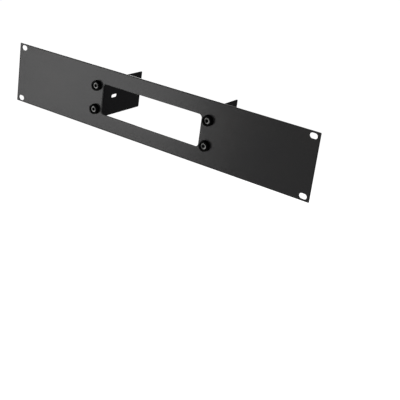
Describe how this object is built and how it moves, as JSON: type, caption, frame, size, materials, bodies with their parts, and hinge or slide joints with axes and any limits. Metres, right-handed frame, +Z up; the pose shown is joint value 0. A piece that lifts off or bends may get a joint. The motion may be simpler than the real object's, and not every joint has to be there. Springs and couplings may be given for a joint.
{
  "type": "rack panel with equipment window",
  "caption": "Flat black rack panel, two units high, with a round-cornered window and bent side brackets behind it that hold a small radio.",
  "frame": {"origin": "centre of the rack slot pattern, on the panel's rear face, which seats on the rack's rails", "axes": "+X along the panel's width, +Y towards the rear of the rack, square to the panel, +Z up"},
  "size_m": [0.4826, 0.0932, 0.0882],
  "materials": {
    "panel_coat": "satin black powder coat",
    "bracket_coat": "matt black powder coat",
    "screw_steel": "black oxide",
    "cup_plastic": "black nylon",
    "zinc_steel": "bright zinc"
  },
  "bodies": {
    "root": {"face_panel": "panel_coat", "bracket_left": "bracket_coat", "bracket_right": "bracket_coat", "screw_upper_left": "screw_steel", "cup_washer_upper_left": "cup_plastic", "plain_washer_upper_left": "zinc_steel", "spring_washer_upper_left": "zinc_steel", "nut_upper_left": "zinc_steel", "screw_lower_left": "screw_steel", "cup_washer_lower_left": "cup_plastic", "plain_washer_lower_left": "zinc_steel", "spring_washer_lower_left": "zinc_steel", "nut_lower_left": "zinc_steel", "screw_upper_right": "screw_steel", "cup_washer_upper_right": "cup_plastic", "plain_washer_upper_right": "zinc_steel", "spring_washer_upper_right": "zinc_steel", "nut_upper_right": "zinc_steel", "screw_lower_right": "screw_steel", "cup_washer_lower_right": "cup_plastic", "plain_washer_lower_right": "zinc_steel", "spring_washer_lower_right": "zinc_steel", "nut_lower_right": "zinc_steel"}
  },
  "joints": []
}
